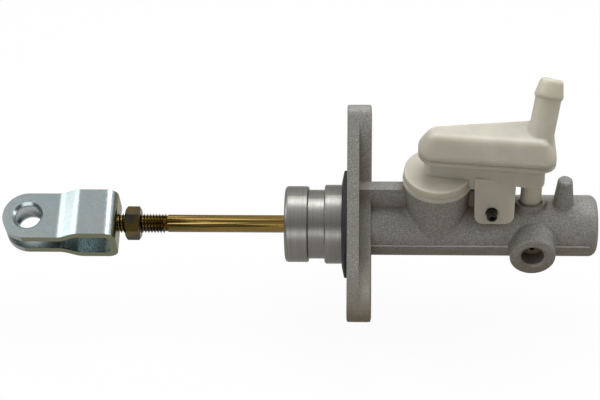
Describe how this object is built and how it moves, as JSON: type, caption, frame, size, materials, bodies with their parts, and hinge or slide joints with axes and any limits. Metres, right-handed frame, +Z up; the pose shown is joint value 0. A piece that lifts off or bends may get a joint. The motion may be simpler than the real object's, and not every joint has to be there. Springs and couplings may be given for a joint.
{
  "type": "clutch master cylinder",
  "caption": "Cast aluminium hydraulic clutch master cylinder with askew two-bolt flange, nylon hose adapter, side outlet, sprung piston and adjustable push rod with fork end.",
  "frame": {"origin": "where the bore's axis meets the rear face of the mounting flange, which lies on the firewall", "axes": "+X along the bore from the push rod to the closed end, +Z up towards the hose adapter, -Y the way the outlet port faces"},
  "size_m": [0.2413, 0.0894, 0.11],
  "materials": {
    "cast_aluminium": "sand-grained die casting with turned nose",
    "nylon": "translucent natural nylon, satin",
    "clear_zinc": "bright clear zinc plate",
    "yellow_zinc": "yellow passivated zinc plate",
    "black_rubber": "matt",
    "black_steel": "oiled black oxide",
    "spring_steel": "plain",
    "brass": "turned",
    "piston_alloy": "anodised, turned"
  },
  "bodies": {
    "cylinder": {"cylinder_body": "cast_aluminium", "mounting_seal": "black_rubber", "stop_washer": "clear_zinc", "snap_ring": "spring_steel", "adapter_base": "nylon", "adapter_cover": "nylon", "adapter_seal": "black_rubber", "roll_pin": "black_steel", "union_seat": "brass", "return_spring": "spring_steel"},
    "piston": {"piston": "piston_alloy", "cup_shim": "spring_steel", "primary_cup": "black_rubber", "secondary_cup": "black_rubber", "spring_seat": "clear_zinc"},
    "push_rod": {"push_rod": "yellow_zinc"},
    "lock_nut": {"lock_nut": "yellow_zinc"},
    "clevis": {"clevis": "clear_zinc"}
  },
  "joints": [
    {"name": "piston_stroke", "type": "slide", "parent": "cylinder", "child": "piston", "axis": [1, 0, 0], "range_m": [0, 0.032], "stiffness_N_per_m": 1500, "springref_m": -0.02, "deforming": ["return_spring"]},
    {"name": "rod_tilt", "type": "hinge", "parent": "piston", "child": "push_rod", "pos_m": [-0.014, 0, 0], "axis": [0, 1, 0], "range_deg": [-3, 3]},
    {"name": "nut_turn", "type": "hinge", "parent": "push_rod", "child": "lock_nut", "pos_m": [-0.0877, 0, 0], "axis": [1, 0, 0], "continuous": true},
    {"name": "clevis_turn", "type": "hinge", "parent": "push_rod", "child": "clevis", "pos_m": [-0.0956, 0, 0], "axis": [1, 0, 0], "continuous": true}
  ]
}
